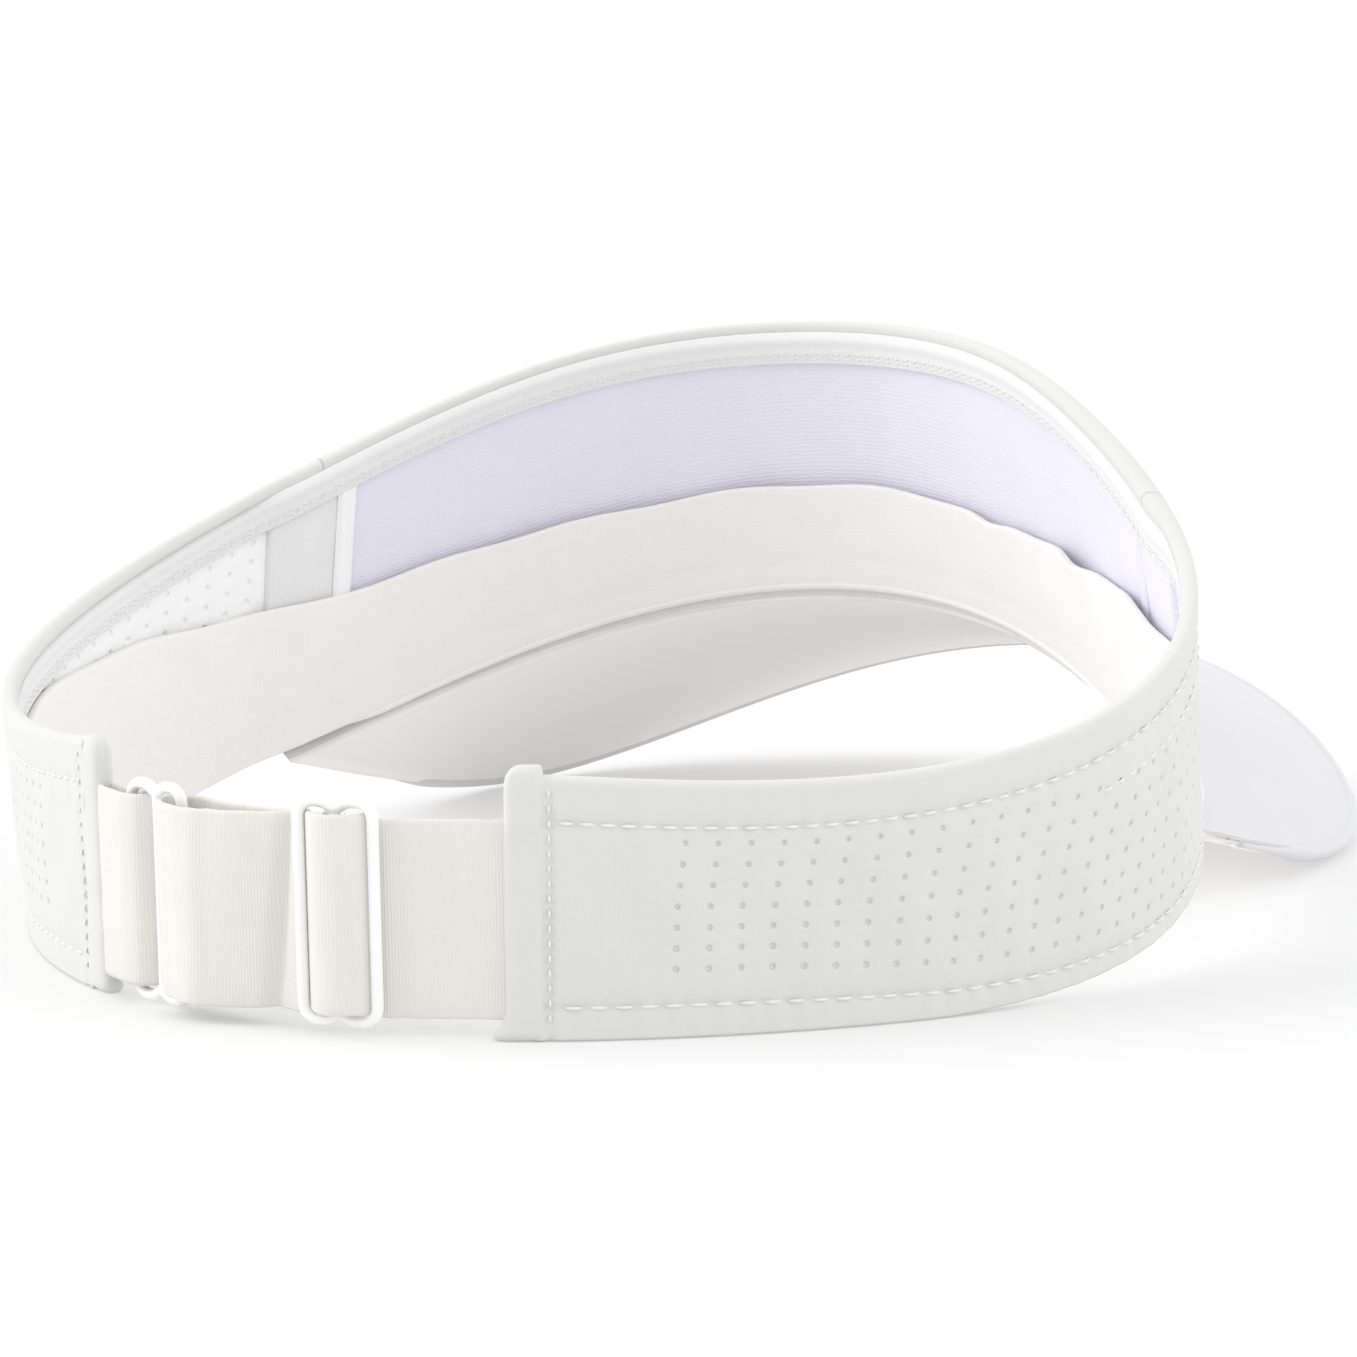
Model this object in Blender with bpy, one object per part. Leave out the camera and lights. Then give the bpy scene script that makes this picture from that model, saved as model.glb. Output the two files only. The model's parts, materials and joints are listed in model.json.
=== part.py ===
"""Sun visor: an open head band with a curved brim and an adjustable elastic back strap.

The band is a loop of fabric wall that stands on the table by its back hems and by the
brim's corners. The front is -Y, the wearer's right is -X, and the table is Z = 0.
All dimensions are in millimetres; solid_from() scales them to metres.
"""
import math

import bmesh
import bpy
from mathutils import Matrix, Vector

MM = 0.001

# Band outline, at stations measured round the head from the front centre.
STATION_STEP = 45.0
BOTTOM_RADIUS = (93.5, 91.0, 91.5, 85.5, 89.5)
BOTTOM_HEIGHT = (43.5, 28.0, 5.0, -0.5, -0.2)
TOP_RADIUS = (82.5, 79.5, 94.5, 87.5, 91.0)
TOP_HEIGHT = (88.6, 77.4, 46.8, 34.0, 36.8)
END_ANGLE = 158.2
SEAM_ANGLE = 63.5
CENTRE_Y = 46.26

# Layers of the band, from the outer face inwards, and how far up each one reaches.
GAP = 0.3
SHELL = 1.2
STIFFENER = 0.8
LINING = 0.8
TAPE = 1.0
SWEATBAND = 1.2
SWEATBAND_TALL = 19.5
SWEATBAND_SIDE_TALL = 25.0
RIM_DROP = 3.2
FACING_TALL = 4.2
SEAM_TAPE_WIDE = 7.0
HEM_LONG = 5.0
HEM_THICK = 3.4

# Brim: ruled surface that runs forward from the band's lower front edge.
BRIM_ANGLE = 66.0
BRIM_DEPTH = 94.0
BRIM_SQUARE = 4.4
BRIM_ROUND = 0.24
BRIM_PITCH = 10.6
BRIM_SIDE_PITCH = 12.95
BRIM_SPREAD = 2.0
BRIM_INSET = 2.4
BRIM_DROP = 1.9
BRIM_END_DROP = 1.3
BOARD = 1.2
COVER = 0.6
BINDING_WIDE = 1.6
PIPING = 1.3

# Back strap, on an arc between the two panel ends.
STRAP_ARC = 77.0
STRAP_TILT = 2.0
STRAP_WIDE = 26.8
WEAVE_WIDE = 26.0
STRAP_THICK = 1.0
STRAP_UP = 18.4
SLIDER_AT = 11.0
SLIDER_OUT = 2.4
RING_AT = -20.8
BUCKLE_WIDE = 12.4
BUCKLE_TALL = 31.2
BUCKLE_WIRE = 1.9
BUCKLE_BAR = 1.6
BUCKLE_DIP = 0.5
BUCKLE_CORNER = 2.0


def clear_scene():
    for thing in list(bpy.data.objects):
        bpy.data.objects.remove(thing, do_unlink=True)


def material(name, colour, roughness):
    made = bpy.data.materials.new(name)
    made.use_nodes = True
    shader = made.node_tree.nodes["Principled BSDF"]
    shader.inputs["Base Color"].default_value = (*colour, 1.0)
    shader.inputs["Roughness"].default_value = roughness
    return made


def solid_from(name, vertices, faces, colour, roughness=0.8, parent=None):
    """One closed solid, in metres, with its faces turned outwards."""
    mesh = bpy.data.meshes.new(name)
    mesh.from_pydata([Vector(v) * MM for v in vertices], [], faces)
    shape = bmesh.new()
    shape.from_mesh(mesh)
    bmesh.ops.recalc_face_normals(shape, faces=shape.faces)
    shape.to_mesh(mesh)
    shape.free()
    mesh.materials.append(material(name, colour, roughness))
    made = bpy.data.objects.new(name, mesh)
    bpy.context.scene.collection.objects.link(made)
    made.parent = parent
    return made


def sweep_faces(count, corners, closed=False):
    """Faces of a section with so many corners carried through count places."""
    faces = []
    for place in range(count if closed else count - 1):
        here = place * corners
        there = ((place + 1) % count) * corners
        for corner in range(corners):
            side = (corner + 1) % corners
            faces.append((here + corner, here + side, there + side, there + corner))
    if not closed:
        faces.append(tuple(range(corners)))
        faces.append(tuple((count - 1) * corners + corner for corner in range(corners)))
    return faces


def sweep(name, sections, colour, roughness=0.8, closed=False, parent=None):
    vertices = [corner for section in sections for corner in section]
    faces = sweep_faces(len(sections), len(sections[0]), closed)
    return solid_from(name, vertices, faces, colour, roughness, parent)


def spread(start, end, steps):
    return [start + (end - start) * step / steps for step in range(steps + 1)]


def smooth_step(value, low, high):
    part = min(max((value - low) / (high - low), 0.0), 1.0)
    return part * part * (3.0 - 2.0 * part)


# ---- the band's wall ----

def round_the_head(stations, degrees):
    """Smooth even curve round the head through the values at the stations."""
    last = len(stations) - 1
    total = 0.0
    for wave in range(last + 1):
        weight = 0.0
        for place, value in enumerate(stations):
            share = 0.5 if place in (0, last) else 1.0
            weight += share * value * math.cos(math.radians(wave * place * STATION_STEP))
        share = 0.5 if wave in (0, last) else 1.0
        total += share * 2.0 / last * weight * math.cos(math.radians(wave * degrees))
    return total


def edge_point(radii, heights, degrees):
    radius = round_the_head(radii, degrees)
    angle = math.radians(degrees)
    height = max(round_the_head(heights, degrees), 0.0)
    return Vector((-radius * math.sin(angle), CENTRE_Y - radius * math.cos(angle), height))


def bottom_edge(degrees):
    return edge_point(BOTTOM_RADIUS, BOTTOM_HEIGHT, degrees)


def top_edge(degrees):
    return edge_point(TOP_RADIUS, TOP_HEIGHT, degrees)


def outward(degrees):
    """Level direction square to the band's lower edge, away from the head."""
    along = bottom_edge(degrees + 0.5) - bottom_edge(degrees - 0.5)
    return Vector((-along.y, along.x, 0.0)).normalized()


def wall_height(degrees):
    return (top_edge(degrees) - bottom_edge(degrees)).length


def wall_point(degrees, up, out):
    """Point of the wall: up from the lower edge, and out from the outer face."""
    low = bottom_edge(degrees)
    lean = (top_edge(degrees) - low) * (up / wall_height(degrees))
    return low + lean + outward(degrees) * out


def wall_strip(name, start, end, corners, colour, steps, roughness=0.8):
    """Solid between two angles; corners(degrees) lists its section as (up, out)."""
    sections = []
    for degrees in spread(start, end, steps):
        sections.append([wall_point(degrees, up, out) for up, out in corners(degrees)])
    return sweep(name, sections, colour, roughness)


def box_corners(low, high, inner, outer, rows=3):
    """Plain layer between two heights, with rows that follow the wall's twist."""
    levels = spread(low, high, rows)
    outer_side = [(level, outer) for level in levels]
    inner_side = [(level, inner) for level in reversed(levels)]
    return outer_side + inner_side


def shell_corners(degrees):
    """Outer fabric, with its top edge folded over into a rounded rim."""
    tall = wall_height(degrees)
    outer_side = [(level, 0.0) for level in spread(0.0, tall - 1.2, 3)]
    rim = [(tall, -0.7), (tall, -1.9), (tall - 1.0, -2.4)]
    inner_side = [(level, -SHELL) for level in spread(tall - 2.4, 0.0, 3)]
    return outer_side + rim + inner_side


def inner_face(degrees):
    """How far in the fabric layers reach: thick at the front, one layer at the sides."""
    front = -(SHELL + STIFFENER + LINING + 2 * GAP)
    blend = smooth_step(abs(degrees), SEAM_ANGLE + 4.0, SEAM_ANGLE + 16.0)
    return front + (-SHELL - front) * blend


def sweatband_top(degrees):
    """Height of the sweatband, which stands taller at the sides."""
    blend = smooth_step(abs(degrees), 45.0, 100.0)
    return SWEATBAND_TALL + (SWEATBAND_SIDE_TALL - SWEATBAND_TALL) * blend


def degrees_for(length, degrees):
    """Angle that so many millimetres of the lower edge take up."""
    step = (bottom_edge(degrees + 0.5) - bottom_edge(degrees - 0.5)).length
    return length / step


def make_front():
    white = (0.88, 0.88, 0.89)
    edge = SEAM_ANGLE - 0.2
    wall_strip("front_panel", -edge, edge, shell_corners, white, 40)
    face = -(SHELL + GAP)

    def stiffener(degrees):
        return box_corners(1.0, wall_height(degrees) - 4.0, face - STIFFENER, face)

    wall_strip("front_stiffener", -edge + 2, edge - 2, stiffener, (0.8, 0.8, 0.78), 36)
    face -= STIFFENER + GAP

    def lining(degrees):
        return box_corners(0.6, wall_height(degrees) - 3.2, face - LINING, face)

    wall_strip("front_lining", -edge + 1, edge - 1, lining, (0.76, 0.74, 0.85), 36)


def make_side(name, side):
    start = side * (SEAM_ANGLE + 0.2)
    end = side * (END_ANGLE - degrees_for(HEM_LONG, END_ANGLE))
    wall_strip("side_panel_" + name, start, end, shell_corners, (0.87, 0.87, 0.88), 26)

    def hem(degrees):
        tall = wall_height(degrees)
        return box_corners(0.0, tall, -HEM_THICK, 0.0)

    wall_strip("end_hem_" + name, end + side * 0.35, side * END_ANGLE, hem,
               (0.88, 0.88, 0.89), 3)

    def tape(degrees):
        face = inner_face(SEAM_ANGLE) - GAP
        top = wall_height(degrees) - RIM_DROP - FACING_TALL - 0.5
        return box_corners(sweatband_top(degrees) + 0.8, top, face - TAPE, face)

    middle = SEAM_ANGLE - 1.0
    half = degrees_for(SEAM_TAPE_WIDE, SEAM_ANGLE) / 2
    wall_strip("seam_tape_" + name, side * (middle - half), side * (middle + half), tape,
               (0.9, 0.9, 0.91), 4)


def make_inner_bands():
    reach = END_ANGLE - degrees_for(HEM_LONG, END_ANGLE) - 0.35

    def facing(degrees):
        face = inner_face(degrees) - GAP
        top = wall_height(degrees) - RIM_DROP
        return box_corners(top - FACING_TALL, top, face - TAPE, face)

    wall_strip("facing_tape", -reach, reach, facing, (0.88, 0.88, 0.86), 84)

    def sweatband(degrees):
        face = inner_face(degrees) - GAP
        return box_corners(0.6, sweatband_top(degrees), face - SWEATBAND, face)

    wall_strip("sweatband", -reach, reach, sweatband, (0.87, 0.86, 0.82), 84)


# ---- the brim ----

def brim_root(part):
    """Where the brim starts under the band; part runs from -1 to 1 across it."""
    degrees = BRIM_ANGLE * part
    drop = BRIM_DROP + (BRIM_END_DROP - BRIM_DROP) * part * part
    return wall_point(degrees, 0.0, -BRIM_INSET) - Vector((0, 0, drop))


def brim_heading(part):
    """Direction in which the brim runs forward and down from its root."""
    spread_angle = math.radians(BRIM_SPREAD) * part
    pitch = math.radians(BRIM_PITCH + (BRIM_SIDE_PITCH - BRIM_PITCH) * part * part)
    level = Vector((-math.sin(spread_angle), -math.cos(spread_angle), 0.0))
    return level * math.cos(pitch) - Vector((0, 0, math.sin(pitch)))


def brim_reach(part):
    return BRIM_DEPTH * max(1.0 - abs(part) ** BRIM_SQUARE, 0.0) ** BRIM_ROUND


def brim_at(part, run):
    """Middle surface of the brim, run being 0 at the root and 1 at the front edge."""
    return brim_root(part) + brim_heading(part) * brim_reach(part) * run


def brim_normal(part, run):
    """Upward direction square to the brim's surface."""
    across = brim_at(part + 0.002, run) - brim_at(part - 0.002, run)
    if abs(part) > 0.99:
        across = brim_root(part + 0.002) - brim_root(part - 0.002)
    return across.cross(brim_heading(part)).normalized()


def even_parts(count):
    """Values of part that space the brim's front edge evenly."""
    fine = [math.sin(math.radians(angle / 4)) for angle in range(-360, 361)]
    fine = [math.copysign(1 - (1 - abs(value)) ** 1.5, value) * 0.9995 for value in fine]
    length = [0.0]
    for before, after in zip(fine, fine[1:]):
        length.append(length[-1] + (brim_at(after, 1.0) - brim_at(before, 1.0)).length)
    parts = []
    place = 0
    for step in range(count + 1):
        goal = length[-1] * step / count
        while place < len(length) - 2 and length[place + 1] < goal:
            place += 1
        share = (goal - length[place]) / (length[place + 1] - length[place])
        parts.append(fine[place] + (fine[place + 1] - fine[place]) * share)
    return parts


def brim_layer(name, low, high, colour, steps=40, rows=6):
    """Sheet of the brim between two heights above its middle surface."""
    vertices = []
    for part in even_parts(steps):
        for row in range(rows + 1):
            place = brim_at(part, row / rows)
            lift = brim_normal(part, row / rows)
            vertices.append(place + lift * low)
            vertices.append(place + lift * high)
    stride = 2 * (rows + 1)
    faces = []
    for step in range(steps):
        for row in range(rows):
            for level in (0, 1):
                a = step * stride + 2 * row + level
                faces.append((a, a + 2, a + stride + 2, a + stride))
        for row in (0, rows):
            a = step * stride + 2 * row
            faces.append((a, a + 1, a + stride + 1, a + stride))
    for step in (0, steps):
        for row in range(rows):
            a = step * stride + 2 * row
            faces.append((a, a + 1, a + 3, a + 2))
    return solid_from(name, vertices, faces, colour)


def make_brim():
    half = BOARD / 2
    brim_layer("brim_board", -half, half, (0.82, 0.82, 0.8))
    brim_layer("brim_top_cover", half + GAP, half + GAP + COVER, (0.86, 0.86, 0.88))
    brim_layer("brim_under_cover", -half - GAP - COVER, -half - GAP, (0.86, 0.84, 0.82))
    make_binding(half + GAP + COVER)
    make_piping()


def make_binding(half):
    """Turned fabric round the front edge of the brim."""
    parts = even_parts(64)
    edge = [brim_at(part, 1.0) for part in parts]
    sections = []
    for step, part in enumerate(parts):
        along = edge[min(step + 1, len(edge) - 1)] - edge[max(step - 1, 0)]
        lift = brim_normal(part, 1.0)
        away = lift.cross(along).normalized()
        section = []
        for out, rise in ((GAP, -half), (GAP, half), (BINDING_WIDE * 0.7, half),
                          (BINDING_WIDE, half * 0.4), (BINDING_WIDE, -half * 0.4),
                          (BINDING_WIDE * 0.7, -half)):
            section.append(edge[step] + away * out + lift * rise)
        sections.append(section)
    sweep("brim_binding", sections, (0.87, 0.87, 0.88))


def make_piping():
    """Round welt where the brim's top meets the front panel."""
    sections = []
    for degrees in spread(-BRIM_ANGLE + 2, BRIM_ANGLE - 2, 48):
        middle = wall_point(degrees, 0.6, PIPING / 2 + GAP)
        away = outward(degrees)
        section = []
        for turn in range(8):
            angle = math.radians(45 * turn + 22.5)
            offset = away * math.cos(angle) + Vector((0, 0, math.sin(angle)))
            section.append(middle + offset * PIPING / 2)
        sections.append(section)
    sweep("brim_seam_piping", sections, (0.9, 0.9, 0.91))


# ---- the back strap ----

def strap_frame():
    """Empty on the strap arc's own axis, which leans back with the band."""
    end = wall_point(END_ANGLE, STRAP_UP, -HEM_THICK / 2)
    back = end.y - math.sqrt(STRAP_ARC ** 2 - end.x ** 2)
    frame = bpy.data.objects.new("strap_axis", None)
    frame.location = Vector((0.0, back, end.z)) * MM
    frame.rotation_euler = (math.radians(-STRAP_TILT), 0.0, 0.0)
    bpy.context.scene.collection.objects.link(frame)
    return frame


def strap_point(along, out, up):
    """Point on the strap's arc; along is positive towards the wearer's right."""
    angle = along / STRAP_ARC
    reach = STRAP_ARC + out
    return Vector((-reach * math.sin(angle), reach * math.cos(angle), up))


def smooth_path(points, steps):
    """Rounded line through the points."""
    padded = [points[0] * 2 - points[1], *points, points[-1] * 2 - points[-2]]
    line = []
    for a, b, c, d in zip(padded, padded[1:], padded[2:], padded[3:]):
        for step in range(steps):
            t = step / steps
            line.append(0.5 * (2 * b + (c - a) * t + (2 * a - 5 * b + 4 * c - d) * t * t
                               + (3 * b - a - 3 * c + d) * t ** 3))
    line.append(points[-1])
    return line


def ribbon(name, points, frame, thick=STRAP_THICK, wide=STRAP_WIDE, steps=3):
    """Elastic that follows a path of (along, out) points, on edge."""
    line = smooth_path([Vector(point) for point in points], steps)
    sections = []
    for step, place in enumerate(line):
        along = line[min(step + 1, len(line) - 1)] - line[max(step - 1, 0)]
        across = Vector((-along.y, along.x)).normalized() * thick / 2
        inner = place - across
        outer = place + across
        sections.append([strap_point(inner.x, inner.y, -wide / 2),
                         strap_point(outer.x, outer.y, -wide / 2),
                         strap_point(outer.x, outer.y, wide / 2),
                         strap_point(inner.x, inner.y, wide / 2)])
    return sweep(name, sections, (0.9, 0.89, 0.83), 0.85, parent=frame)


def loop_outline():
    """Buckle's outline in its own plane, with a dip at each end of the middle bar."""
    half_wide = (BUCKLE_WIDE - BUCKLE_WIRE) / 2
    half_tall = (BUCKLE_TALL - BUCKLE_WIRE) / 2
    corner = BUCKLE_CORNER
    quarter = []
    for place in spread(0.0, half_wide - corner, 4):
        quarter.append((place, half_tall - BUCKLE_DIP * math.exp(-(place / 1.3) ** 2)))
    for angle in spread(0.0, 90.0, 4)[1:]:
        turn = math.radians(angle)
        quarter.append((half_wide - corner + corner * math.sin(turn),
                        half_tall - corner + corner * math.cos(turn)))
    right = quarter + [(x, -z) for x, z in reversed(quarter)]
    left = [(-x, z) for x, z in reversed(right)]
    return right + left[1:-1]


def on_the_arc(along, out=0.0):
    """Placement in the strap's frame, facing out from its arc."""
    turn = Matrix.Rotation(along / STRAP_ARC, 4, "Z")
    return turn @ Matrix.Translation(Vector((0.0, STRAP_ARC + out, 0.0)) * MM)


def hinge_frame(name, frame, along):
    """Empty on the bar that a buckle turns about."""
    made = bpy.data.objects.new(name, None)
    bpy.context.scene.collection.objects.link(made)
    made.parent = frame
    made.matrix_local = on_the_arc(along)
    return made


def buckle(name, parent, placement):
    """Wire buckle shaped like an 8: a closed loop with a bar across its middle."""
    outline = [Vector((x, 0.0, z)) for x, z in loop_outline()]
    sections = []
    for step, place in enumerate(outline):
        along = outline[(step + 1) % len(outline)] - outline[step - 1]
        away = Vector((-along.z, 0.0, along.x)).normalized()
        section = []
        for turn in range(8):
            angle = math.radians(45 * turn + 22.5)
            offset = away * math.cos(angle) + Vector((0, 1, 0)) * math.sin(angle)
            section.append(place + offset * BUCKLE_WIRE / 2)
        sections.append(section)
    white = (0.9, 0.9, 0.9)
    made = sweep(name, sections, white, 0.35, closed=True)
    reach = (BUCKLE_TALL - BUCKLE_WIRE) / 2 - BUCKLE_DIP
    ends = []
    for up in (-reach, reach):
        ends.append([Vector((BUCKLE_BAR / 2 * math.cos(math.radians(45 * turn)),
                             BUCKLE_BAR / 2 * math.sin(math.radians(45 * turn)), up))
                     for turn in range(8)])
    bar = sweep(name + "_bar", ends, white, 0.35)
    bar.hide_render = True
    bar.display_type = "WIRE"
    join = made.modifiers.new("middle_bar", "BOOLEAN")
    join.operation = "UNION"
    join.object = bar
    for piece in (made, bar):
        piece.parent = parent
        piece.matrix_local = placement


def make_strap():
    frame = strap_frame()
    bars = (BUCKLE_WIDE - BUCKLE_WIRE) / 2
    wrap = BUCKLE_WIRE / 2 + GAP + STRAP_THICK / 2
    end = strap_reach()
    left = RING_AT - bars
    buckle("slider", frame, on_the_arc(SLIDER_AT, SLIDER_OUT))
    buckle("ring", hinge_frame("ring_hinge", frame, left),
           on_the_arc(left).inverted() @ on_the_arc(RING_AT))

    # Elastic tab: out of the left hem, round the ring's left bar, and back in.
    tab = [(-end, 0.9), (left - 1.6, 1.5), (left, wrap), (left + 1.3, 1.1),
           (left + wrap, 0.0), (left + 1.3, -1.1), (left, -wrap), (left - 1.6, -1.5),
           (-end, -0.9)]
    ribbon("strap_tab", tab, frame, thick=0.8)

    # Main run: out of the right hem and behind the slider's right bar.
    under = SLIDER_OUT - wrap - 0.05
    right_bar = SLIDER_AT + bars
    left_bar = SLIDER_AT - bars
    ribbon("strap_main_run", [(end, 0.0), (right_bar + 8, 0.1), (right_bar + 3, 0.4),
                              (right_bar - 0.3, under)], frame)

    # Weave: up over the middle bar and its sewn loop, and down behind the left bar.
    crown = SLIDER_OUT + BUCKLE_BAR / 2 + 0.8 + 2 * GAP + STRAP_THICK / 2
    ribbon("strap_weave", [(right_bar - 0.7, under + 0.1), (right_bar - 2.2, under + 1.2),
                           (SLIDER_AT + 1.6, crown - 0.3), (SLIDER_AT, crown),
                           (SLIDER_AT - 1.6, crown - 0.3), (left_bar + 2.2, under + 1.2),
                           (left_bar + 0.7, under + 0.1)], frame, wide=WEAVE_WIDE)

    # End loop: the strap's end sewn round the slider's middle bar.
    hold = BUCKLE_BAR / 2 + GAP + 0.4
    loop = [(SLIDER_AT - 2.6, SLIDER_OUT - 2.2), (SLIDER_AT - 1.3, SLIDER_OUT - 0.9),
            (SLIDER_AT - 1.1, SLIDER_OUT + 0.7), (SLIDER_AT, SLIDER_OUT + hold),
            (SLIDER_AT + hold, SLIDER_OUT), (SLIDER_AT + 0.9, SLIDER_OUT - 1.2)]
    ribbon("strap_end_loop", loop, frame, thick=0.7, wide=WEAVE_WIDE)

    # Outer run: from behind the slider's left bar out to the ring's right bar.
    ring_bar = RING_AT + bars
    ribbon("strap_outer_run", [(left_bar + 0.2, under), (left_bar - 3, under + 0.6),
                               (left_bar - 9, 2.1), (ring_bar + 4, 2.9),
                               (ring_bar, 2.4), (ring_bar - 1.6, 1.3),
                               (ring_bar - 1.9, 0.2)], frame)

    # Inner run: round the ring's right bar and back inside to the slider.
    ribbon("strap_inner_run", [(ring_bar - 1.9, -0.1), (ring_bar - 1.3, -1.3),
                               (ring_bar, -1.9), (ring_bar + 5, -1.7),
                               (left_bar - 4, -1.4), (SLIDER_AT - 3.1, -0.9)], frame)


def strap_reach():
    """Distance along the arc from its middle to the end face of a hem."""
    end = wall_point(END_ANGLE, STRAP_UP, -HEM_THICK / 2)
    return STRAP_ARC * math.asin(abs(end.x) / STRAP_ARC) - GAP - 0.1


clear_scene()
make_front()
make_side("right", 1)
make_side("left", -1)
make_inner_bands()
make_brim()
make_strap()
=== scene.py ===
"""Sun visor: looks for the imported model, in the same frame as its solids.

The front is -Y, the wearer's right is -X and the table is Z = 0. Shapes are worked out in
millimetres and scaled to metres when a mesh is made, and angles round the head are in
degrees from the front centre. Every cloth point also carries its place on the cloth in
millimetres, so that weaves and ribs follow the fabric.
"""
import json
from functools import cache
from math import asin, ceil, copysign, cos, exp, floor, hypot, pi, radians, sin, sqrt

import bmesh
import bpy
import numpy as np
from mathutils import Matrix, Vector

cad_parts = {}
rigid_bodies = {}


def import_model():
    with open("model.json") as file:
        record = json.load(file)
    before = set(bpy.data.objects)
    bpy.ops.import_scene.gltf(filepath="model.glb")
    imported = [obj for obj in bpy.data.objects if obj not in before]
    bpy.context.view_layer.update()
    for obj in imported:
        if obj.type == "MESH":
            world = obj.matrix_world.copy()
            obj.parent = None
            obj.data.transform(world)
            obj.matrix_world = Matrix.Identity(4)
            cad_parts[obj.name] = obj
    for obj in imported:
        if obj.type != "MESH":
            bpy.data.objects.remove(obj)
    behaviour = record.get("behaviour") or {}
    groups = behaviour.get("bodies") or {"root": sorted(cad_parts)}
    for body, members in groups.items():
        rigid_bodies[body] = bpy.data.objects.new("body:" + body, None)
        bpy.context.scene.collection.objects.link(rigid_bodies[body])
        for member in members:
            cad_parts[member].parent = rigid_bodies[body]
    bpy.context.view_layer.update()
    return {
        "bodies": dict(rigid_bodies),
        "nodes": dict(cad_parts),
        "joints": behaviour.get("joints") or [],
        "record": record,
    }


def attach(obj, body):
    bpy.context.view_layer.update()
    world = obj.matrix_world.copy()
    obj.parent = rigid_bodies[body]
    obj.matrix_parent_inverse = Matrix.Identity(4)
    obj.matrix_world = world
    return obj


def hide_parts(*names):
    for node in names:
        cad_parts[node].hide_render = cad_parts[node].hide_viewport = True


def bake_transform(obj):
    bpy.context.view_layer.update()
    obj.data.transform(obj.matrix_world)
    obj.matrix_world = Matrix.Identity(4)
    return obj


MM = 0.001
SIDES = (1, -1)

# Band outline, at stations measured round the head from the front centre.
STATION_STEP = 45.0
BOTTOM_RADIUS = (93.5, 91.0, 91.5, 85.5, 89.5)
BOTTOM_HEIGHT = (43.5, 28.0, 5.0, -0.5, -0.2)
TOP_RADIUS = (82.5, 79.5, 94.5, 87.5, 91.0)
TOP_HEIGHT = (88.6, 77.4, 46.8, 34.0, 36.8)
END_ANGLE = 158.2
SEAM_ANGLE = 63.5
CENTRE_Y = 46.26

# Layers of the band.
SHELL = 1.0
FRONT_FACE = 3.7
SIDE_FACE = 1.5
MESH_FACE = 1.4
MESH_FOOT = 0.4
LINING_FACE = 2.6
LINING_DROP = 3.6
SEAM_GAP = 0.04
SEAM_CLOTH = 22.0
RIM_RADIUS = 1.3
FACING_DROP = 1.9
FACING_TALL = 5.6
FACING_THICK = 1.05
MESH_DROP = FACING_DROP + 0.8
RIM_TURNING = 5.0
HEM_LONG = 5.0
HEM_PROUD = 0.9
HEM_CORNER = 2.8
HEM_SEAM = 0.75

# Stitching and perforation.
TOP_STITCH_DROP = 6.2
TOP_STITCH_PITCH = 2.7
LOW_STITCH_PITCH = 3.35
HEM_STITCH_PITCH = 2.0
HOLE_RADIUS = 0.45
HOLE_DEPTH = 0.33
HOLE_LEAN = 1.4
HOLE_PITCH = 4.36
HOLE_COLUMNS = 28
HOLE_ROWS = 7
HOLE_FIRST = 18.5
CELL_STEPS = 8
CELL_ROWS = 4

# Brim.
BRIM_ANGLE = 66.0
BRIM_DEPTH = 94.0
BRIM_SQUARE = 4.4
BRIM_ROUND = 0.24
BRIM_PITCH = 10.6
BRIM_SIDE_PITCH = 12.95
BRIM_SPREAD = 2.0
BRIM_INSET = 2.4
BRIM_DROP = 1.9
BRIM_END_DROP = 1.3
BRIM_HALF = 1.3
BRIM_INSIDE = 0.3
BRIM_CLOTH = 110.0

# Back strap.
STRAP_ARC = 77.0
STRAP_TILT = 2.0
STRAP_UP = 18.4
STRAP_WIDE = 26.8
WEAVE_WIDE = 27.0
STRAP_THICK = 0.9
SLIDER_AT = 11.0
SLIDER_OUT = 2.4
SLIDER_LIFT = 1.0
RING_AT = -20.8
BUCKLE_WIDE = 12.4
BUCKLE_TALL = 31.2
BUCKLE_WIRE = 1.65
BUCKLE_BAR = 1.25
BUCKLE_DIP = 0.9
BUCKLE_CORNER = 2.2
HEM_THICK = 3.4
STRAP_GAP = 0.4

# Studio, in metres and degrees.
FLOOR_HALF = 30.0
FLOOR_GAP = 0.0002
LIGHT_SPREAD = 55.0


def spread(start, end, steps):
    return [start + (end - start) * step / steps for step in range(steps + 1)]


def smooth_step(value, low, high):
    part = min(max((value - low) / (high - low), 0.0), 1.0)
    return part * part * (3.0 - 2.0 * part)


def bell(distance, width):
    return exp(-(distance / width) ** 2)


def hand(side):
    """The wearer's hand on a side of the band: 1 is right and -1 is left."""
    return "right" if side > 0 else "left"


def path_lengths(points):
    """Distance along a line to each of its points."""
    lengths = [0.0]
    for before, after in zip(points, points[1:]):
        lengths.append(lengths[-1] + (after - before).length)
    return lengths


@cache
def oval(count, across_power=1.0, up_power=1.0):
    """Corners round a circle of radius 1, which powers below 1 make squarer."""
    corners = []
    for step in range(count):
        angle = 2 * pi * step / count
        across, up = cos(angle), sin(angle)
        corners.append((copysign(abs(across) ** across_power, across),
                        copysign(abs(up) ** up_power, up)))
    return corners


def ring_round(middle, side, lift, count, *powers):
    """Closed section about a middle point; side and lift are its half widths."""
    return [middle + side * x + lift * y for x, y in oval(count, *powers)]


# ---- materials ----

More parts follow.
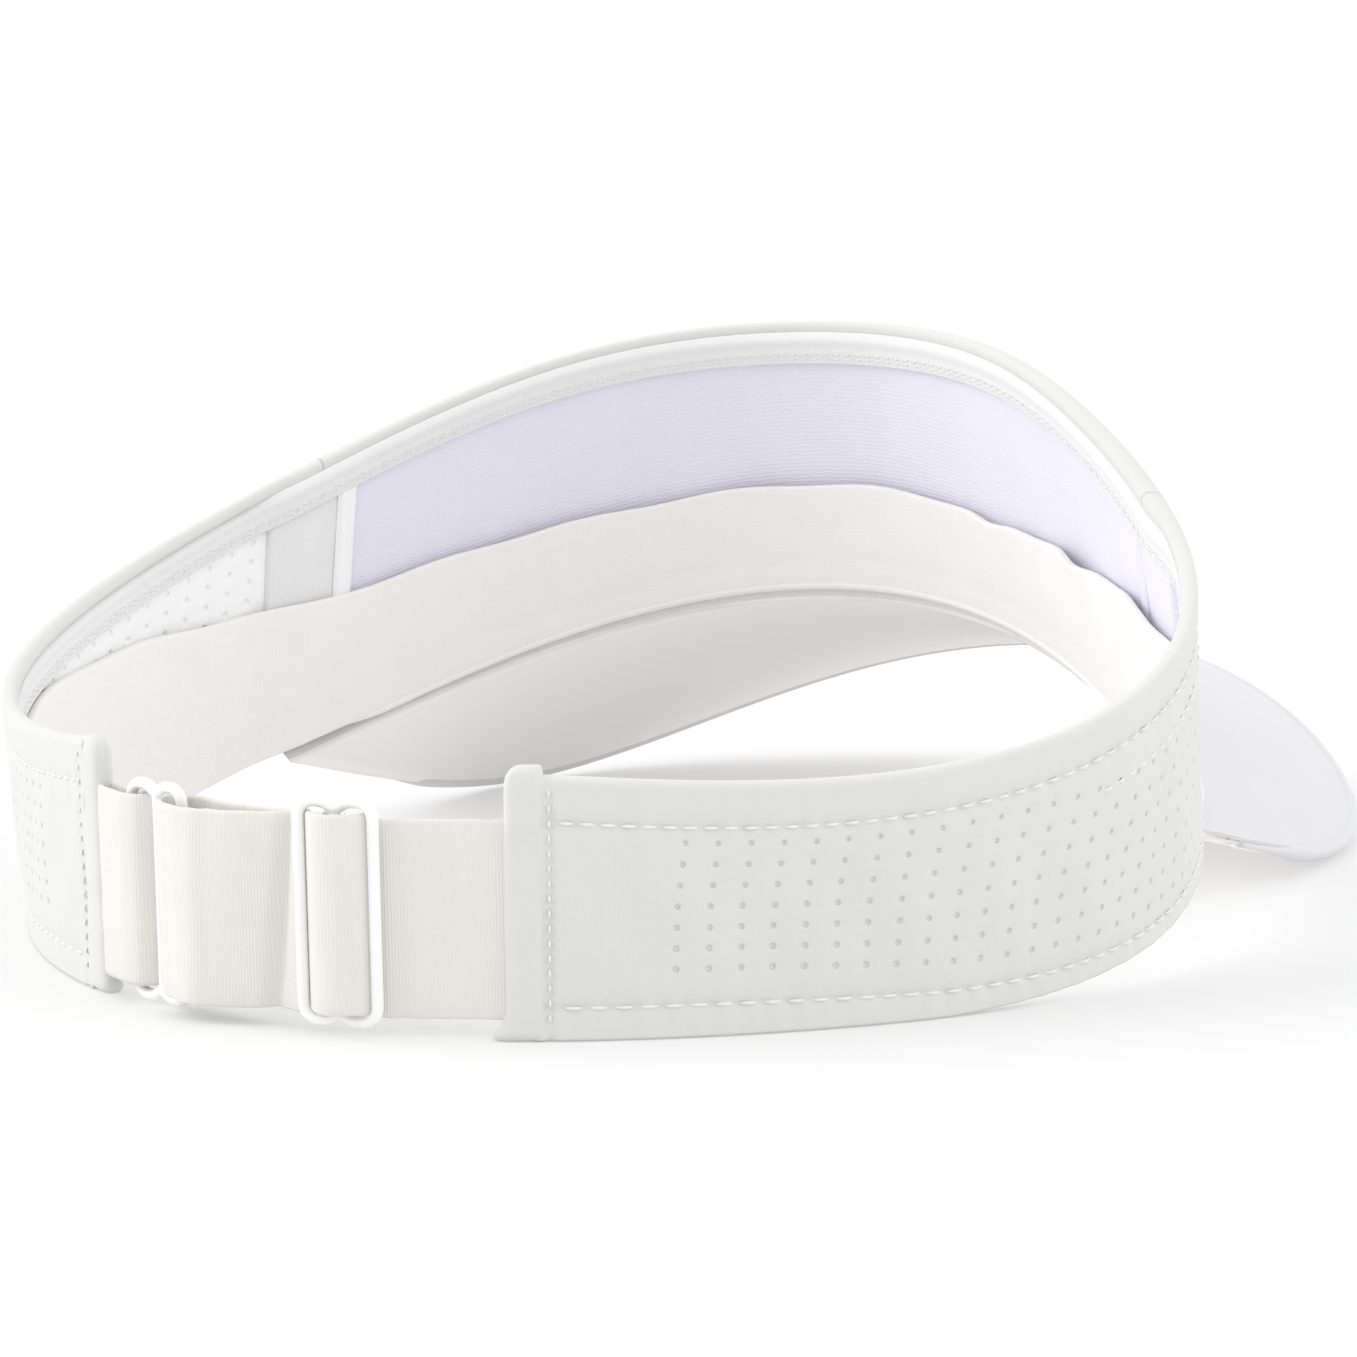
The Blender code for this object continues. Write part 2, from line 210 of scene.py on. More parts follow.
class Nodes:
    """Short names for building one material's node tree."""

    def __init__(self, name):
        self.material = bpy.data.materials.new(name)
        self.material.use_nodes = True
        self.tree = self.material.node_tree
        self.shader = self.tree.nodes["Principled BSDF"]

    def feed(self, node, inputs):
        """Set a node's inputs to values, or link other nodes' outputs to them."""
        for key, value in inputs.items():
            if isinstance(value, bpy.types.NodeSocket):
                self.tree.links.new(value, node.inputs[key])
            else:
                node.inputs[key].default_value = value

    def finish(self, inputs):
        self.feed(self.shader, inputs)
        return self.material

    def add(self, kind, inputs, **settings):
        node = self.tree.nodes.new(kind)
        for key, value in settings.items():
            setattr(node, key, value)
        self.feed(node, inputs)
        return node

    def math(self, operation, first, second):
        return self.add("ShaderNodeMath", {0: first, 1: second}, operation=operation).outputs[0]

    def cloth_place(self):
        return self.add("ShaderNodeAttribute", {}, attribute_name="cloth").outputs["Vector"]

    def object_place(self):
        return self.add("ShaderNodeTexCoord", {}).outputs["Object"]

    def noise(self, place, scale, detail=3.0):
        made = self.add("ShaderNodeTexNoise", {"Vector": place, "Scale": scale, "Detail": detail})
        return made.outputs["Fac"]

    def wave(self, place, direction, pitch, distortion):
        made = self.add("ShaderNodeTexWave",
                        {"Vector": place, "Scale": 0.314 / pitch, "Distortion": distortion,
                         "Detail": 2.0, "Detail Scale": 1.5},
                        bands_direction=direction)
        return made.outputs["Fac"]

    def ramp(self, factor, low, high):
        """From low to high as the factor goes from 0 to 1."""
        return self.add("ShaderNodeMapRange", {0: factor, 3: low, 4: high}).outputs[0]

    def tint(self, colour, factor, low, high):
        """Colour brightened from low to high as the factor goes from 0 to 1."""
        return self.add("ShaderNodeMix",
                        {0: 1.0, 6: (*colour, 1.0), 7: self.ramp(factor, low, high)},
                        data_type="RGBA", blend_type="MULTIPLY").outputs[2]

    def relief(self, height, depth):
        """Bump of so many millimetres."""
        return self.add("ShaderNodeBump", {"Height": height, "Strength": 1.0,
                                           "Distance": depth * MM}).outputs[0]


def textile(name, colour, across, along, depth, ribs=0.5, fuzz=0.4, wander=0.6, mottle=0.04,
            rough=0.85, sheen=0.15):
    """Woven or knitted cloth: threads across and along it, fuzz, uneven colour, and painted shade
    in the weave's valleys.
    """
    nodes = Nodes(name)
    place = nodes.cloth_place()
    upright = nodes.math("MULTIPLY", nodes.wave(place, "X", across, wander), ribs)
    level = nodes.math("MULTIPLY", nodes.wave(place, "Y", along, wander), 1.0 - ribs)
    weave = nodes.math("ADD", upright, level)
    fibres = nodes.noise(place, 2.6, 4.0)
    height = nodes.math("ADD", weave, nodes.math("MULTIPLY", fibres, fuzz))
    patches = nodes.noise(place, 0.09, 4.0)
    # Colour mixes the weave's height, darker in its low valleys (painted shade), with noise
    # patches, which are the cloth's own uneven tone.
    shade = nodes.math("ADD", nodes.math("MULTIPLY", weave, 0.35),
                       nodes.math("MULTIPLY", patches, 0.65))
    return nodes.finish({
        "Base Color": nodes.tint(colour, shade, 1.0 - mottle, 1.0 + mottle * 0.4),
        "Normal": nodes.relief(height, depth),
        "Roughness": nodes.ramp(fibres, rough - 0.08, rough + 0.08),
        "Sheen Weight": sheen, "Sheen Roughness": 0.5, "Specular IOR Level": 0.25})


def coated_wire():
    """Satin white nylon over wire, with faint unevenness."""
    nodes = Nodes("coated_wire")
    place = nodes.object_place()
    patches = nodes.noise(place, 160.0, 2.0)
    return nodes.finish({
        "Base Color": nodes.tint((0.93, 0.935, 0.92), patches, 0.96, 1.0),
        "Normal": nodes.relief(nodes.noise(place, 900.0, 2.0), 0.02),
        "Roughness": nodes.ramp(patches, 0.22, 0.36), "Coat Weight": 0.15})


def board_plastic():
    """Flexible sheet inside the brim."""
    nodes = Nodes("board_plastic")
    grain = nodes.noise(nodes.object_place(), 500.0)
    return nodes.finish({"Base Color": nodes.tint((0.82, 0.82, 0.8), grain, 0.95, 1.0),
                         "Normal": nodes.relief(grain, 0.02), "Roughness": 0.5})


def floor_paper():
    """Pale sheet on a light table, with a slight glow of its own."""
    nodes = Nodes("floor_paper")
    patches = nodes.noise(nodes.object_place(), 3.0)
    return nodes.finish({"Base Color": nodes.tint((0.60, 0.60, 0.60), patches, 0.99, 1.0),
                         "Roughness": 0.9, "Specular IOR Level": 0.1,
                         "Emission Color": (1.0, 1.0, 1.0, 1.0), "Emission Strength": 0.27})


MATERIALS = {}


def make_materials():
    MATERIALS.update(
        shell=textile("shell_microfibre", (0.695, 0.694, 0.682), 0.32, 0.32, 0.009, fuzz=0.9),
        # The inner mesh is lighter than the outer shell: partly its own whiter cloth, partly
        # painted light standing in for light that the inside of the band lacks.
        mesh=textile("inner_mesh", (0.9, 0.9, 0.91), 0.5, 0.5, 0.03, wander=1.5),
        # The lining's lavender is its own colour; its lightness is partly painted light for the
        # shaded inside of the band.
        lining=textile("lavender_knit", (0.79, 0.773, 0.873), 1.1, 0.68, 0.042, ribs=0.12,
                       wander=5.0, mottle=0.06),
        tape=textile("folded_tape", (0.79, 0.785, 0.79), 0.5, 0.5, 0.03),
        # The sweatband is lighter than the shell: partly its own cream towelling, partly painted
        # light for the shaded inside of the band.
        sweatband=textile("sweatband_towelling", (0.85, 0.843, 0.822), 0.7, 0.7, 0.03,
                          fuzz=1.4, wander=4.0, sheen=0.25),
        elastic=textile("ribbed_elastic", (0.77, 0.762, 0.727), 0.43, 0.9, 0.05, ribs=0.86,
                        fuzz=0.6, wander=1.0, mottle=0.07),
        brim=textile("brim_microfibre", (0.70, 0.70, 0.718), 0.32, 0.32, 0.01, fuzz=0.9),
        # The underside cloth is far lighter than the top cover: partly its own cream colour, partly
        # painted light standing in for light that misses the underside of the brim.
        under=textile("brim_underside", (0.965, 0.938, 0.922), 0.36, 0.36, 0.02, fuzz=0.9),
        thread=textile("sewing_thread", (0.82, 0.82, 0.82), 0.4, 0.4, 0.03, rough=0.6),
        wire=coated_wire(),
        board=board_plastic(),
    )


# ---- mesh building ----

def put(name, data):
    """New object in the scene."""
    made = bpy.data.objects.new(name, data)
    bpy.context.scene.collection.objects.link(made)
    return made


class Skin:
    """Points in millimetres, with their places on the cloth, and the faces between them."""

    def __init__(self):
        self.points = []
        self.places = []
        self.faces = []

    def add(self, point, along, across):
        self.points.append(point)
        self.places.append((along, across, 0.0))
        return len(self.points) - 1

    def row(self, points, along):
        """A row of points; their places across run on by distance."""
        return [self.add(point, along, across)
                for point, across in zip(points, path_lengths(points))]

    def band(self, first, second, closed=False):
        """Faces between two rows of as many points."""
        count = len(first)
        for step in range(count if closed else count - 1):
            after = (step + 1) % count
            self.faces.append((first[step], first[after], second[after], second[step]))

    def cap(self, ring):
        self.faces.append(tuple(ring))

    def sleeve(self, rings):
        """Faces from ring to ring, with both ends closed."""
        for before, after in zip(rings, rings[1:]):
            self.band(before, after, closed=True)
        self.cap(rings[0])
        self.cap(rings[-1])

    def make(self, name, material, slot, nodes=(), body="band"):
        """Piece that rides the body, unless no body is given, and hides the nodes it stands for."""
        mesh = bpy.data.meshes.new(name)
        mesh.from_pydata([point * MM for point in self.points], [], self.faces)
        store = mesh.attributes.new("cloth", "FLOAT_VECTOR", "POINT")
        store.data.foreach_set("vector", [value for place in self.places for value in place])
        shape = bmesh.new()
        shape.from_mesh(mesh)
        bmesh.ops.recalc_face_normals(shape, faces=shape.faces)
        shape.to_mesh(mesh)
        shape.free()
        mesh.shade_smooth()
        mesh.materials.append(MATERIALS[material])
        made = put(name, mesh)
        if body:
            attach(made, body)
        if nodes:
            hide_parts(*nodes)
        return made


def tube(name, sections, alongs, material, slot, nodes=(), body="band"):
    """Skin through closed sections; alongs gives each one's place along the cloth."""
    skin = Skin()
    skin.sleeve([skin.row(section, along) for section, along in zip(sections, alongs)])
    return skin.make(name, material, slot, nodes, body)


def loft(name, arcs, section, material, slot, nodes=()):
    """Tube through the sections that section(arc, angle) gives along the band."""
    sections = [section(arc, angle_at(arc)) for arc in arcs]
    return tube(name, sections, arcs, material, slot, nodes)


# ---- the band's wall ----

def round_the_head(stations, angle):
    """Smooth even curve round the head through the values at the stations."""
    last = len(stations) - 1
    shares = [0.5, *[1.0] * (last - 1), 0.5]
    total = 0.0
    for wave, wave_share in enumerate(shares):
        weight = sum(share * value * cos(radians(wave * place * STATION_STEP))
                     for place, (share, value) in enumerate(zip(shares, stations)))
        total += wave_share * 2.0 / last * weight * cos(radians(wave * angle))
    return total


def edge_point(radii, heights, angle):
    radius = round_the_head(radii, angle)
    turn = radians(angle)
    height = max(round_the_head(heights, angle), 0.0)
    return Vector((-radius * sin(turn), CENTRE_Y - radius * cos(turn), height))


@cache
def bottom_edge(angle):
    return edge_point(BOTTOM_RADIUS, BOTTOM_HEIGHT, angle)


@cache
def top_edge(angle):
    return edge_point(TOP_RADIUS, TOP_HEIGHT, angle)


@cache
def outward(angle):
    """Level direction square to the band's lower edge, away from the head."""
    along = bottom_edge(angle + 0.5) - bottom_edge(angle - 0.5)
    return Vector((-along.y, along.x, 0.0)).normalized()


@cache
def wall_height(angle):
    return (top_edge(angle) - bottom_edge(angle)).length


def wall_point(angle, up, out):
    """Point of the wall: up from the lower edge, and out from the outer face."""
    low = bottom_edge(angle)
    lean = (top_edge(angle) - low) * (up / wall_height(angle))
    return low + lean + outward(angle) * out


def wall_section(angle, corners):
    """Points of the wall at a list of (up, out)."""
    return [wall_point(angle, up, out) for up, out in corners]


@cache
def head_measure():
    """Angles every fifth of a degree, and the lower edge's length from the front to each."""
    angles = np.arange(821) / 5
    return angles, np.array(path_lengths([bottom_edge(float(angle)) for angle in angles]))


def arc_at(angle):
    """Millimetres along the lower edge from the front centre; signed like the angle."""
    angles, lengths = head_measure()
    return copysign(float(np.interp(abs(angle), angles, lengths)), angle)


def angle_at(arc):
    angles, lengths = head_measure()
    return copysign(float(np.interp(abs(arc), lengths, angles)), arc)


def panel_end(short):
    """Arc from the front centre to the start of a hem's roll, less a margin."""
    return arc_at(END_ANGLE) - HEM_LONG - short


def inner_face(angle):
    """How far in the inner bands lie: behind three layers at the front, one at the sides."""
    blend = smooth_step(abs(angle), SEAM_ANGLE + 1.0, SEAM_ANGLE + 9.0)
    return -(FRONT_FACE + (SIDE_FACE - FRONT_FACE) * blend)


def low_stitch(angle):
    """Height of the lower stitch row."""
    return 2.6 + 1.7 * smooth_step(abs(angle), 85.0, 145.0)


def stitch_dent(away, arc, pitch):
    """Cloth drawn in near a row of stitches, and deeper under each stitch."""
    beat = 0.5 + 0.5 * cos(2 * pi * arc / pitch)
    return -0.2 * bell(away, 1.3) - 0.36 * beat * bell(away, 0.5)


def puff(angle, up):
    """How far a side panel stands out or in: drawn in along its seams, soft between them."""
    tall = wall_height(angle)
    arc = arc_at(abs(angle))
    pucker = sin(arc * 0.93 + 2.0 * sin(arc * 0.11)) + sin(arc * 1.7 + 1.0)
    drawn = 0.0
    for height, pitch in ((tall - TOP_STITCH_DROP, TOP_STITCH_PITCH),
                          (low_stitch(angle), LOW_STITCH_PITCH)):
        drawn += stitch_dent(up - height, arc, pitch)
        drawn += 0.07 * pucker * bell(up - height + 1.0, 3.0)
    beat = 0.5 + 0.5 * cos(2 * pi * up / HEM_STITCH_PITCH)
    drawn -= (0.12 + 0.4 * beat) * bell(panel_end(HEM_SEAM) - arc, 0.45)
    drawn *= 1.0 if angle > 0 else 0.6
    middle = (up - 4.0) / max(tall - 11.0, 1.0)
    soft = 0.2 * sin(arc * 0.19 + up * 0.08) + 0.14 * sin(arc * 0.43 - up * 0.21)
    return drawn + soft * max(0.0, sin(pi * min(max(middle, 0.0), 1.0)))


# ---- the outer shell ----

def rim_corners(angle):
    """Folded top edge, from the outer face over and down to the end of the turning."""
    corners = []
    half = max((-inner_face(angle) - 0.25) / 2, RIM_RADIUS)
    tall = wall_height(angle)
    for turn in spread(0.0, 180.0, 12):
        swing = radians(turn)
        across = copysign(abs(cos(swing)) ** 0.8, cos(swing))
        corners.append((tall - RIM_RADIUS + RIM_RADIUS * sin(swing) ** 0.9,
                        half * (across - 1.0)))
    behind = smooth_step(-inner_face(angle), 2.6, 2.9)
    low = tall - FACING_DROP - 0.12 - 0.7 * behind
    corners.append((low, -2 * half))
    corners.append((low - 0.1, -SHELL))
    return corners


def hole_reach(angle, side):
    """Heights of the lowest and highest row of holes at this angle."""
    front = 1.0 - smooth_step(abs(angle), 84.0, 146.0)
    gaps = HOLE_ROWS - 1
    limit = wall_height(angle) - TOP_STITCH_DROP - 0.7
    if side < 0:
        high = limit - 1.7
        return high - gaps * (2.75 + 0.5 * front), high
    low = 9.2 - 3.2 * front
    high = low + gaps * (2.82 + 0.9 * front)
    return low, min(high, (2 * gaps * limit + low) / (2 * gaps + 1))


def panel_levels(angle, side):
    """Heights of the side panel's rows: below, through and above the perforation."""
    low, high = hole_reach(angle, side)
    half = (high - low) / (HOLE_ROWS - 1) / 2
    seam = low_stitch(angle)
    below = [0.0, 0.3, 0.8]
    below += spread(seam - 0.9, seam + 0.9, 8)
    below += spread(seam + 0.9, low - half, 3)[1:-1]
    zone = spread(low - half, high + half, HOLE_ROWS * CELL_ROWS)
    top = wall_height(angle)
    stitch = top - TOP_STITCH_DROP
    above = spread(high + half, stitch - 0.45, 2)[1:]
    above += spread(stitch - 0.45, stitch + 0.9, 6)[1:]
    above += spread(stitch + 0.9, top - RIM_RADIUS, 5)[1:-1]
    return below, zone, above


class Panel:
    """One face of a side panel, as a grid with perforations, and what closes it behind."""

    def __init__(self, side, face, inward):
        self.skin = Skin()
        self.side = side
        self.face = face
        self.inward = inward
        self.start = panel_end(-1.2)
        self.end = arc_at(SEAM_ANGLE + SEAM_GAP)
        step = HOLE_PITCH / CELL_STEPS
        self.columns = int((self.start - self.end) / step)
        self.arcs = spread(self.start, self.end, self.columns)
        self.first = round(HOLE_FIRST / step) - CELL_STEPS // 2
        self.grid = []
        self.backs = []

    def leaned(self, arc, up):
        """The columns of holes lean forward in their upper half."""
        low, high = hole_reach(angle_at(arc), self.side)
        rise = smooth_step(up, low + 0.35 * (high - low), high + 0.25 * (high - low))
        inside = smooth_step(self.start - arc, 4.0, 16.0) * smooth_step(arc - self.end, 1.0, 7.0)
        return arc - HOLE_LEAN * rise * inside

    def spot(self, arc, up, sink=0.0):
        """Point of the face, or sunk into it."""
        angle = self.side * angle_at(arc)
        return wall_point(angle, up, self.face(angle, up) + self.inward * sink)

    def column(self, arc, levels, behind):
        """Upright row of the face; behind lists (up, out, place across) of its back."""
        row = []
        for up in levels:
            at = self.leaned(arc, up)
            row.append(self.skin.add(self.spot(at, up), at, up))
        self.grid.append(row)
        angle = self.side * angle_at(arc)
        self.backs.append([self.skin.add(wall_point(angle, up, out), arc, across)
                           for up, out, across in behind])

    def hole(self, edge, arc, up, size_share):
        """Blind hole: rings from its cell's edge over a rounded lip to its floor."""
        middle = self.spot(arc, up)
        along = (self.spot(arc + 0.5, up) - middle) * 2
        rise = (self.spot(arc, up + 0.5) - middle) * 2
        deep = (self.spot(arc, up, 1.0) - middle).normalized()
        places = self.skin.places
        last = edge
        lip = HOLE_RADIUS * size_share * (1.25 if self.inward > 0 else 1.0)
        for radius, sink in ((lip + 0.28, 0.0), (lip + 0.09, 0.04), (lip, 0.14),
                             (lip * 0.88, HOLE_DEPTH)):
            ring = []
            for index in edge:
                aside, above = places[index][0] - arc, places[index][1] - up
                size = hypot(aside, above)
                x, y = radius * aside / size, radius * above / size
                ring.append(self.skin.add(middle + along * x + rise * y + deep * sink,
                                          arc + x, up + y))
            self.skin.band(last, ring, closed=True)
            last = ring
        self.skin.cap(last)

    def finish(self, first_row, spare):
        """Holes, then the plain faces between them, then the back; spare columns stay whole."""
        taken = set()
        for column in range(HOLE_COLUMNS):
            c = self.first + column * CELL_STEPS
            if c + CELL_STEPS > self.columns - spare:
                break
            arc = self.arcs[c + CELL_STEPS // 2]
            low, high = hole_reach(angle_at(arc), self.side)
            for row in range(HOLE_ROWS):
                r = first_row + row * CELL_ROWS
                taken.update((c + i, r + j) for i in range(CELL_STEPS) for j in range(CELL_ROWS))
                up = low + (high - low) * row / (HOLE_ROWS - 1)
                edge = cell_edge(self.grid, c, r)
                self.hole(edge, self.leaned(arc, up), up, 1.0 - 0.035 * row)
        for c, (before, after) in enumerate(zip(self.grid, self.grid[1:])):
            for r in range(len(before) - 1):
                if (c, r) not in taken:
                    self.skin.faces.append((before[r], before[r + 1], after[r + 1], after[r]))
        rows = [[row[-1], *back, row[0]] for row, back in zip(self.grid, self.backs)]
        for before, after in zip(rows, rows[1:]):
            self.skin.band(before, after)
        for c in (0, -1):
            self.skin.cap(self.grid[c] + self.backs[c])


def cell_edge(rows, column, row):
    """Indices round one hole's cell, in order."""
    right, top = column + CELL_STEPS, row + CELL_ROWS
    edge = [rows[c][row] for c in range(column, right)]
    edge += [rows[right][r] for r in range(row, top)]
    edge += [rows[c][top] for c in range(right, column, -1)]
    return edge + [rows[column][r] for r in range(top, row, -1)]


def side_shell(side):
    """Outer fabric of a side: perforated face, turned rim and plain back."""
    panel = Panel(side, puff, -1.0)
    for arc in panel.arcs:
        angle = side * angle_at(arc)
        below, zone, above = panel_levels(angle, side)
        levels = below + zone + above
        rim = rim_corners(angle) + [(0.0, -SHELL)]
        panel.column(arc, levels, [(up, out, levels[-1] + 0.35 * step)
                                   for step, (up, out) in enumerate(rim, 1)])
    panel.finish(len(below), 4)
    made = panel.skin.make(f"side_shell_{hand(side)}", "shell", "shell_fabric",
                           [f"side_panel_{hand(side)}"])
    declare_cut(side * panel.start, side * panel.end, RIM_TURNING)


def side_mesh(side):
    """Inner face of a side, with the same perforation."""
    panel = Panel(side, lambda angle, up: -MESH_FACE, 1.0)
    for arc in panel.arcs:
        angle = side * angle_at(arc)
        below, zone, _ = panel_levels(angle, side)
        levels = [MESH_FOOT, *below[3:], *zone]
        levels += spread(zone[-1], wall_height(angle) - MESH_DROP, 3)[1:]
        panel.column(arc, levels, [(up, -SHELL - 0.03, up) for up in (levels[-1], MESH_FOOT)])
    panel.finish(len(below) - 2, 18)
    made = panel.skin.make(f"side_mesh_{hand(side)}", "mesh", "shell_fabric")
    declare_cut(side * panel.start, side * panel.end, -MESH_DROP - MESH_FOOT)


def front_shell():
    """Plain front panel with the same folded rim."""

    def section(arc, angle):
        tall = wall_height(angle)
        stitch = tall - TOP_STITCH_DROP
        levels = spread(0.0, stitch - 0.9, 16) + spread(stitch - 0.9, stitch + 0.9, 6)[1:]
        levels += spread(stitch + 0.9, tall - RIM_RADIUS, 5)[1:-1]
        corners = [(up, stitch_dent(up - stitch, arc, TOP_STITCH_PITCH)) for up in levels]
        corners += rim_corners(angle)
        corners += [(up, -SHELL) for up in spread(tall - 6.0, 0.0, 6)]
        return wall_section(angle, corners)

    edge = arc_at(SEAM_ANGLE - SEAM_GAP)
    made = loft("front_shell", spread(-edge, edge, 330), section, "shell", "shell_fabric",
                ["front_panel", "front_stiffener"])
    declare_cut(-edge, edge, RIM_TURNING)


def end_hem(side):
    """Turned end of a panel: a soft roll whose free upper corner is rounded."""
    end_arc = arc_at(END_ANGLE)
    tall = wall_height(END_ANGLE) + (HEM_PROUD if side > 0 else 0.2)
    plump = 1.8 if side > 0 else 1.62
    rises = [sin(radians(turn)) for turn in spread(0, 90, 9)]
    levels = [0.0, 0.15, 0.5, *spread(1.2, tall - 3.2, 14)]
    levels += [tall - HEM_CORNER * (1.0 - rise) for rise in rises]

    def section(height):
        part = max((height - (tall - HEM_CORNER)) / HEM_CORNER, 0.0)
        corner = sqrt(max(1.0 - part * part, 0.0004))
        foot = 0.75 + 0.25 * smooth_step(height, 0.0, 0.6)
        flare = 1.7 * bell(height - 0.4, 1.1) if side > 0 else 0.35 * bell(height - 1.0, 1.6)
        free = end_arc + 0.15 + flare - 2.2 * (1.0 - corner)
        sewn = end_arc - HEM_LONG - 0.15 + 0.5 * (1.0 - corner)
        points = []
        for flat, deep in oval(28, 0.5, 0.7):
            along = (free + sewn) / 2 + flat * (free - sewn) / 2
            waver = 0.1 * sin(height * 0.9 + flat) + 0.06 * sin(height * 2.3)
            out = -1.5 + deep * (plump + waver) * (0.3 + 0.7 * corner) * foot
            points.append(wall_point(side * angle_at(along), height, out))
        return points

    tube(f"hem_roll_{hand(side)}", [section(height) for height in levels], levels, "shell",
         "shell_fabric", [f"end_hem_{hand(side)}"])


# ---- stitches ----

def capsule(skin, start, end, lift, sink, radius):
    """One stitch between two points, dipping into the cloth at its ends."""
    along = end - start
    side = along.normalized().cross(lift).normalized()
    rings = []
    for share in (0.0, 0.12, 0.32, 0.5, 0.68, 0.88, 1.0):
        arch = sin(pi * share) ** 0.6
        middle = start + along * share + lift * (-sink + (sink + radius * 0.5) * arch)
        size = radius * (0.55 + 0.45 * arch)
        ring = ring_round(middle, side * size, lift * size, 6)
        rings.append(skin.row(ring, share * 2.0))
    skin.sleeve(rings)


def stitch_row(skin, arcs, place, radius=0.25, fill=0.7):
    """Stitches between neighbouring arcs; place(arc) gives a point and its lift."""
    for before, after in zip(arcs, arcs[1:]):
        gap = (after - before) * (1 - fill) / 2
        start, lift = place(before + gap)
        end, _ = place(after - gap)
        capsule(skin, start, end, lift, 0.34, radius)


def even_arcs(start, end, pitch):
    """Multiples of the pitch between two arcs, so that stitches meet their dents."""
    first = ceil(min(start, end) / pitch)
    last = floor(max(start, end) / pitch)
    return [step * pitch for step in range(first, last + 1)]


def stitch_seat(height, out):
    """place(arc) for a level row of stitches on the wall, at height(angle)."""

    def place(arc):
        angle = angle_at(arc)
        return wall_point(angle, height(angle), out), outward(angle)

    return place


def outer_stitches():
    """Lockstitch rows on the outside of the band; the second top row ends part way back."""
    skin = Skin()
    reach = panel_end(0.8)
    seam = arc_at(SEAM_ANGLE + 1)
    fork = arc_at(END_ANGLE) - 84.0
    top = stitch_seat(lambda angle: wall_height(angle) - TOP_STITCH_DROP, -0.2)
    low = stitch_seat(low_stitch, -0.2)
    second = stitch_seat(lambda angle: wall_height(angle) - TOP_STITCH_DROP - 5.2, 0.02)
    stitch_row(skin, even_arcs(-reach, reach, TOP_STITCH_PITCH), top)
    for side in SIDES:
        stitch_row(skin, even_arcs(side * seam, side * reach, LOW_STITCH_PITCH), low)
        stitch_row(skin, even_arcs(side * seam, side * fork, TOP_STITCH_PITCH), second)
    skin.make("outer_stitches", "thread", "tape_fabric")


def hem_stitches():
    """Upright row that closes each end hem."""
    skin = Skin()
    for side in SIDES:
        angle = side * angle_at(panel_end(HEM_SEAM))
        levels = even_arcs(1.0, wall_height(angle) - 1.0, HEM_STITCH_PITCH)
        stitch_row(skin, levels,
                   lambda up, at=angle: (wall_point(at, up, -0.05), outward(at)), 0.2, 0.55)
    skin.make("hem_stitches", "thread", "tape_fabric")


def facing_stitches():
    """A straight row and two zigzags that show on the inner facing."""
    skin = Skin()
    reach = panel_end(1.5)
    arcs = even_arcs(-reach, reach, 1.2)
    for drop, swing in ((1.5, 0.0), (3.9, 0.3), (4.7, 0.2)):
        corners = []
        for step, arc in enumerate(arcs):
            angle = angle_at(arc)
            up = wall_height(angle) - FACING_DROP - drop + (swing if step % 2 else -swing)
            corners.append(wall_point(angle, up, inner_face(angle) - 0.86))
        for arc, start, end in zip(arcs, corners, corners[1:]):
            capsule(skin, start, end, -outward(angle_at(arc)), 0.14, 0.12)
    skin.make("facing_stitches", "thread", "tape_fabric")


# ---- inside bands ----

def pillow(low, high, inner, outer, rounding, steps=5):
    """Section of a soft band: (up, out) corners round a box with rounded edges."""
    low, high = low + rounding, high - rounding
    inner, outer = inner + rounding, outer - rounding
    corners = []
    for up, out, start in ((high, outer, 0), (high, inner, 90), (low, inner, 180),
                           (low, outer, 270)):
        for turn in spread(start, start + 90, steps):
            angle = radians(turn)
            corners.append((up + rounding * sin(angle), out + rounding * cos(angle)))
    return corners


def declare_cut(start, end, extra):
    """Works out the wall's height plus extra at points along a cloth piece; nothing is kept or
    declared.
    """
    heights = [wall_height(angle_at(arc)) + extra for arc in spread(start, end, 80)]


def facing_corners(top, face, outer):
    """Section of the facing, with extra points down its visible side."""
    shown = face - FACING_THICK
    corners = pillow(top - FACING_TALL, top, shown, outer, 0.42)
    split = next(k for k, (up, _) in enumerate(corners) if up < top - FACING_TALL / 2)
    levels = spread(top - 0.6, top - FACING_TALL + 0.6, 12)
    return corners[:split] + [(up, shown) for up in levels] + corners[split:]


def facing():
    """Tape along the inside of the whole rim, rolled at its upper edge."""

    def section(arc, angle):
        top = wall_height(angle) - FACING_DROP
        face = inner_face(angle) + 0.2
        outer = face + 0.6 * smooth_step(-inner_face(angle), 1.9, 2.3)
        corners = []
        for up, out in facing_corners(top, face, outer):
            if out < face - 0.5:
                groove = 0.06 * (bell(up - top + 2.9, 0.5) + bell(up - top + 4.3, 0.5))
                roll = 0.2 * bell(up - top + 1.6, 0.8) - 0.45 * smooth_step(up, top - 1.4, top)
                out += groove - roll
            corners.append((up, out))
        return wall_section(angle, corners)

    reach = panel_end(0.4)
    loft("facing", spread(-reach, reach, 420), section, "tape", "tape_fabric", ["facing_tape"])


def lining():
    """Lavender cloth inside the front."""
    foot = 1.0

    def section(arc, angle):
        top = wall_height(angle) - LINING_DROP
        levels = spread(foot, top, 26)
        inside = []
        for up in levels:
            share = (up - foot) / (top - foot)
            slack = 0.14 * sin(arc * 0.11 + 2 * share) + 0.08 * sin(arc * 0.31)
            inside.append((up, -LINING_FACE - 0.75 + slack * sin(pi * share)))
        return wall_section(angle, inside + [(up, -LINING_FACE) for up in reversed(levels)])

    reach = arc_at(SEAM_ANGLE - 2.4)
    made = loft("lining", spread(-reach, reach, 220), section, "lining", "lining_fabric",
                ["front_lining"])
    declare_cut(-reach, reach, -LINING_DROP - foot)


